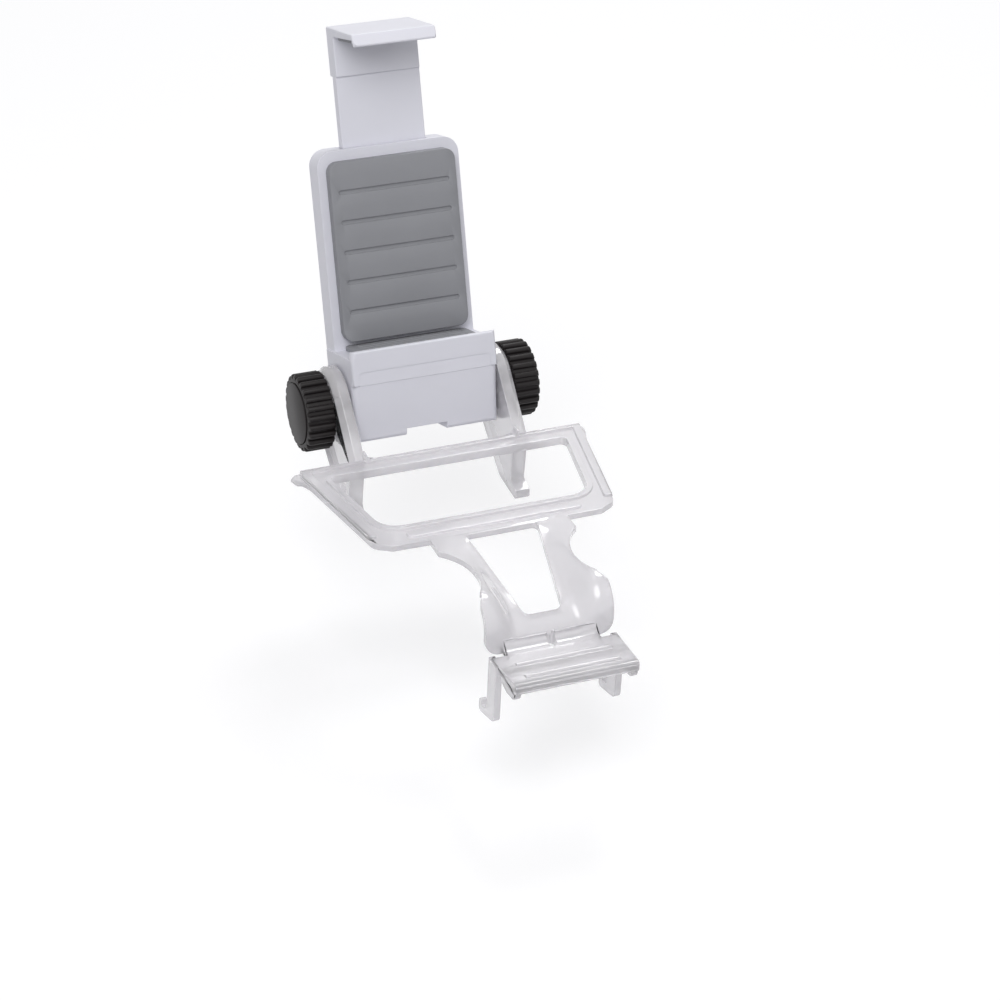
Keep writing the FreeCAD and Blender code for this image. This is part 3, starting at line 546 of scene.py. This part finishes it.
def knobRibs():
    # One rounded rib, then a ring of them.
    k = knob
    step = 2 * math.pi / k["ribs"]
    height = k["radius"] - k["core"]
    sunk = k["core"] - k["ribSunk"]
    section = [(-k["ribFoot"], sunk), (-k["ribFoot"], k["core"])]
    for i in range(2 * k["ribSteps"] + 1):
        share = -1 + i / k["ribSteps"]
        crown = math.sqrt(1 - (share * k["crownBend"]) ** 2)
        lift = k["crownFoot"] + (1 - k["crownFoot"]) * crown
        section.append((share * k["ribTop"], k["core"] + height * lift))
    section += [(k["ribFoot"], k["core"]), (k["ribFoot"], sunk)]
    outline = [(0, r * math.sin(step * a), r * math.cos(step * a)) for a, r in section]
    shape = bmesh.new()
    rows = []
    for end, distance, drop in k["ribRows"]:
        row = []
        for p in outline:
            away = Vector(p)
            share = max(0, away.length - k["core"]) / height
            away *= (away.length - drop * share) / away.length
            row.append(shape.verts.new((k[end] + distance, away.y, away.z)))
        rows.append(row)
    for first, second in zip(rows, rows[1:]):
        for i in range(len(outline)):
            j = (i + 1) % len(outline)
            shape.faces.new((first[i], first[j], second[j], second[i]))
    shape.faces.new(rows[0])
    shape.faces.new(rows[-1])
    rib = pieceFrom(shape, "knobRibs", dullBlackAbs)
    return grow(rib, repeatForm, {"Count": k["ribs"], "Turn": (step, 0.0, 0.0),
                                  "Finish": dullBlackAbs})


def makeKnob(name, hand, body, node):
    # A whole knob; hand is -1 for the left one, which is mirrored.
    whole = bmesh.new()
    for part in (knobCore(), knobRibs()):
        whole.from_mesh(part.data)
        bpy.data.objects.remove(part)
    if hand < 0:
        bmesh.ops.scale(whole, verts=whole.verts, vec=(-1, 1, 1))
    piece = pieceFrom(whole, name, dullBlackAbs)
    piece.data.transform(clampPlace)
    piece.data.set_sharp_from_angle(angle=math.radians(knob["sharp"]))
    settle(piece, body, "black", node)


for side, hand in (("left", -1), ("right", 1)):
    makeKnob("knob" + side.capitalize(), hand, "knob_" + side, "knob_cap_" + side)
print("knobs done")


# Silicone pads, in mm in the clamp's frame
soft = {
    "edgeSteps": 3,
    "edgeAngle": 40,
    "cuts": 6,  # across each half of a pad, so that its face can be crowned
    "slotRound": 0.98,  # of a groove's end, as a share of its half width
    "sharp": 50,
}


def siliconePad(name, node, body, pad):
    # A slab with round corners, grooved where the phone lies, its edges soft and its face crowned.
    flat = pad["flat"]  # the clamp axis that the pad's thickness lies along: 1 or 2
    across = 3 - flat

    def at(u, v, depth):
        spot = [u + 0.0, 0.0, 0.0]
        spot[across] = pad["centre"] + v
        spot[flat] = pad["face"] + pad["inward"] * depth
        return tuple(spot)

    outline = roundedRectangle(pad["halfWide"], pad["halfHigh"], pad["corner"])
    back = [0.0, 0.0, 0.0]
    back[flat] = pad["inward"] * pad["thick"]
    piece = pieceFrom(bar([at(u, v, 0) for u, v in outline], back), name, greySilicone)
    if pad["grooves"]:
        pitch = 2 * pad["halfHigh"] / (pad["grooves"] + 1)
        first = -pad["halfHigh"] + pitch
        half = pad["grooveWide"] / 2
        slot = roundedRectangle(pad["halfWide"] - pad["border"], half, half * soft["slotRound"])
        sink = [0.0, 0.0, 0.0]
        sink[flat] = pad["inward"] * (pad["grooveDeep"] + past)
        step = [0.0, 0.0, 0.0]
        step[across] = pitch
        outline = [at(u, v + first, -past) for u, v in slot]
        groove = pieceFrom(bar(outline, sink), "groove", greySilicone)
        grow(groove, repeatForm, {"Count": pad["grooves"], "Step": step, "Finish": greySilicone})
        cutters = bmesh.new()
        cutters.from_mesh(groove.data)
        bpy.data.objects.remove(groove)
        carve(piece, cutters)
    easeEdges(piece, pad["edge"], soft["edgeAngle"], soft["edgeSteps"])
    shape = bmesh.new()
    shape.from_mesh(piece.data)
    for axis, half, middle in ((0, pad["halfWide"], 0), (across, pad["halfHigh"], pad["centre"])):
        for i in range(1, 2 * soft["cuts"]):
            point = [0.0, 0.0, 0.0]
            normal = [0.0, 0.0, 0.0]
            point[axis] = middle + half * (i / soft["cuts"] - 1)
            normal[axis] = 1.0
            bmesh.ops.bisect_plane(shape, geom=shape.verts[:] + shape.edges[:] + shape.faces[:],
                                   plane_co=point, plane_no=normal)
    for vertex in shape.verts:
        u = vertex.co[0] / pad["halfWide"]
        v = (vertex.co[across] - pad["centre"]) / pad["halfHigh"]
        depth = (vertex.co[flat] - pad["face"]) * pad["inward"] / pad["thick"]
        sag = pad["crown"] * max(u * u, v * v) * (1 - depth)
        vertex.co[flat] += pad["inward"] * sag
    finished = pieceFrom(shape, name, greySilicone)
    bpy.data.objects.remove(piece)
    finished.name = name
    finished.data.transform(clampPlace)
    finished.data.set_sharp_from_angle(angle=math.radians(soft["sharp"]))
    settle(finished, body, "grey_pad", node)


siliconePad("backPad", "back_pad", "clamp", {
    "flat": 1, "inward": 1, "face": -0.3, "thick": 3.0, "centre": 36.78,
    "halfWide": 16.0, "halfHigh": 21.72, "corner": 2.6, "edge": 0.22, "crown": 0.25,
    "grooves": 5, "grooveWide": 1.0, "grooveDeep": 0.5, "border": 2.0,
})
siliconePad("lowerJawPad", "lower_jaw_pad", "clamp", {
    "flat": 2, "inward": -1, "face": 14.06, "thick": 1.2, "centre": -3.35,
    "halfWide": 15.5, "halfHigh": 5.95, "corner": 1.2, "edge": 0.2, "crown": 0.08,
    "grooves": 5, "grooveWide": 1.0, "grooveDeep": 0.5, "border": 2.0,
})
siliconePad("upperJawPad", "upper_jaw_pad", "jaw", {
    "flat": 2, "inward": 1, "face": 86.56, "thick": 0.9, "centre": -2.6,
    "halfWide": 9.8, "halfHigh": 6.0, "corner": 1.2, "edge": 0.2, "crown": 0.08,
    "grooves": 0,
})
print("pads done")


# Springs and the cover's screws, in mm in the clamp's frame
coil = {
    "x": 13.475,
    "depth": 5.95,
    "lowPin": 9.0,
    "highPin": 43.2,
    "turns": 64.0,
    "radius": 1.28,
    "wire": 0.2,
    "eye": 0.86,
    "reach": 1.6,
}


def makeSpring(name, hand, node):
    # A spring grown from one point, stretched between clamp and jaw.
    seed = bmesh.new()
    seed.verts.new((0, 0, 0))
    piece = pieceFrom(seed, name, springSteel)
    grow(piece, extensionSpring, {
        "Turns": coil["turns"], "Coil": coil["radius"], "Wire": coil["wire"], "Eye": coil["eye"],
        "Reach": coil["reach"], "Length": coil["highPin"] - coil["lowPin"], "Finish": springSteel,
    })
    foot = Matrix.Translation((hand * coil["x"], coil["depth"], coil["lowPin"]))
    piece.data.transform(clampPlace @ foot)
    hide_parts(node)
    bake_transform(piece)


for side, hand in (("left", -1), ("right", 1)):
    makeSpring("coilSpring" + side.capitalize(), hand, "spring_" + side)

coverScrew = {
    "rear": 9.3,
    "profile": [  # (distance, radius) from the tip to the face of the head
        (-5.0, 0), (-5.0, 0.3), (-4.1, 0.98), (-1.1, 0.98),
        (-0.12, 1.88), (-0.04, 1.85), (0, 1.73), (0, 0),
    ],
    "steps": 32,
    "crossHalf": 0.95,
    "crossWide": 0.2,
    "crossDeep": 0.6,
    "sharp": 35,
}


def makeScrews(name, half, height, nodes):
    # A pair of screws with a cross recess, half a distance apart to each side.
    s = coverScrew
    screw = pieceFrom(turned(s["profile"], s["steps"]), name, blackOxideSteel)
    arm, wide = s["crossHalf"], s["crossWide"]
    cross = [(arm, wide), (wide, wide), (wide, arm), (-wide, arm), (-wide, wide), (-arm, wide),
             (-arm, -wide), (-wide, -wide), (-wide, -arm), (wide, -arm), (wide, -wide), (arm, -wide)]
    foot = [(-s["crossDeep"], u, v) for u, v in cross]
    carve(screw, bar(foot, (s["crossDeep"] + past, 0, 0)))
    upright = Matrix.Rotation(math.pi / 2, 4, "Z")
    screw.data.transform(Matrix.Translation((-half, s["rear"], height)) @ upright)
    grow(screw, repeatForm, {"Count": 2, "Step": (2.0 * half, 0.0, 0.0),
                             "Finish": blackOxideSteel})
    screw.data.transform(clampPlace)
    screw.data.set_sharp_from_angle(angle=math.radians(s["sharp"]))
    settle(screw, "clamp", "dark_steel", *nodes)


makeScrews("coverScrewsLow", 7.6, 0.6, ["cover_screws"])
makeScrews("coverScrewsHigh", 14.475, 58.7, [])
print("springs and screws done")

finishes = {
    "washer_left": zincSteel, "washer_right": zincSteel,
    "nut_left": zincSteel, "nut_right": zincSteel,
    "knob_screw_left": zincSteel, "knob_screw_right": zincSteel,
    "friction_disc_left": greyFibre, "friction_disc_right": greyFibre,
    "spring_pins": zincSteel, "jaw_pins": zincSteel,
}
for node, finish in finishes.items():
    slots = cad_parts[node].data.materials
    for i in range(len(slots)):
        slots[i] = finish
print("carried-over pieces done")


# Stage and light
stage = {
    "floor": -0.045,
    "floorColour": "#BFBFC1",  # for the light that the floor throws back
    "floorGlow": 0.54,  # added where the floor is seen, so that it reads as white
    "floorHalf": 3.0,
    "floorRough": 0.9,
    "ambient": 0.42,
    "aim": (0, -0.01, 0.02),  # the point that the lamps face
}

lamps = {  # each with its place, its size across and its power
    "keyLight": ((-0.36, -0.5, 0.8), 0.75, 5.0),
    "fillLight": ((0.6, -0.5, 0.6), 0.6, 0.4),
    "rimLight": ((0.3, 0.44, 0.72), 0.3, 1.9),
}


def seenRays(tree):
    # 1 where the camera, gloss or clear plastic looks, else 0.
    rays = addNode(tree, "ShaderNodeLightPath")
    seen = addNode(tree, "ShaderNodeMath", None,
                   {0: rays.outputs["Is Camera Ray"], 1: rays.outputs["Is Glossy Ray"]},
                   operation="MAXIMUM")
    return addNode(tree, "ShaderNodeMath", None,
                   {0: seen.outputs[0], 1: rays.outputs["Is Transmission Ray"]},
                   operation="MAXIMUM").outputs[0]


def floorMaterial():
    # Pale where it is seen, with its shadow kept.
    material = bpy.data.materials.new("paleFloor")
    material.use_nodes = True
    tree = material.node_tree
    shader = tree.nodes["Principled BSDF"]
    shader.inputs["Base Color"].default_value = linear(stage["floorColour"])
    shader.inputs["Roughness"].default_value = stage["floorRough"]
    shader.inputs["Specular IOR Level"].default_value = 0.0
    shader.inputs["Emission Color"].default_value = (1, 1, 1, 1)
    glow = addNode(tree, "ShaderNodeMapRange", {"To Max": stage["floorGlow"]},
                   {"Value": seenRays(tree)})
    tree.links.new(glow.outputs["Result"], shader.inputs["Emission Strength"])
    return material


def makeStage():
    # The floor, the white surroundings and three lamps.
    mesh = bpy.data.meshes.new("floor")
    half = stage["floorHalf"]
    corners = [(-half, -half), (half, -half), (half, half), (-half, half)]
    mesh.from_pydata([(x, y, stage["floor"]) for x, y in corners], [], [(0, 1, 2, 3)])
    mesh.materials.append(floorMaterial())
    floor = bpy.data.objects.new("floor", mesh)
    bpy.context.scene.collection.objects.link(floor)

    world = bpy.data.worlds.new("studio")
    bpy.context.scene.world = world
    world.use_nodes = True
    tree = world.node_tree
    sky = tree.nodes["Background"]
    sky.inputs["Color"].default_value = (1, 1, 1, 1)
    level = addNode(tree, "ShaderNodeMapRange", {"To Min": stage["ambient"], "To Max": 1.0},
                    {"Value": seenRays(tree)})
    tree.links.new(level.outputs["Result"], sky.inputs["Strength"])

    for name, (place, size, power) in lamps.items():
        lamp = bpy.data.lights.new(name, "AREA")
        lamp.shape = "DISK"
        lamp.size = size
        lamp.energy = power
        holder = bpy.data.objects.new(name, lamp)
        bpy.context.scene.collection.objects.link(holder)
        holder.location = place
        aim = Vector(stage["aim"]) - Vector(place)
        holder.rotation_euler = aim.to_track_quat("-Z", "Y").to_euler()


makeStage()
bpy.context.scene.view_settings.view_transform = "Standard"
print("stage done")
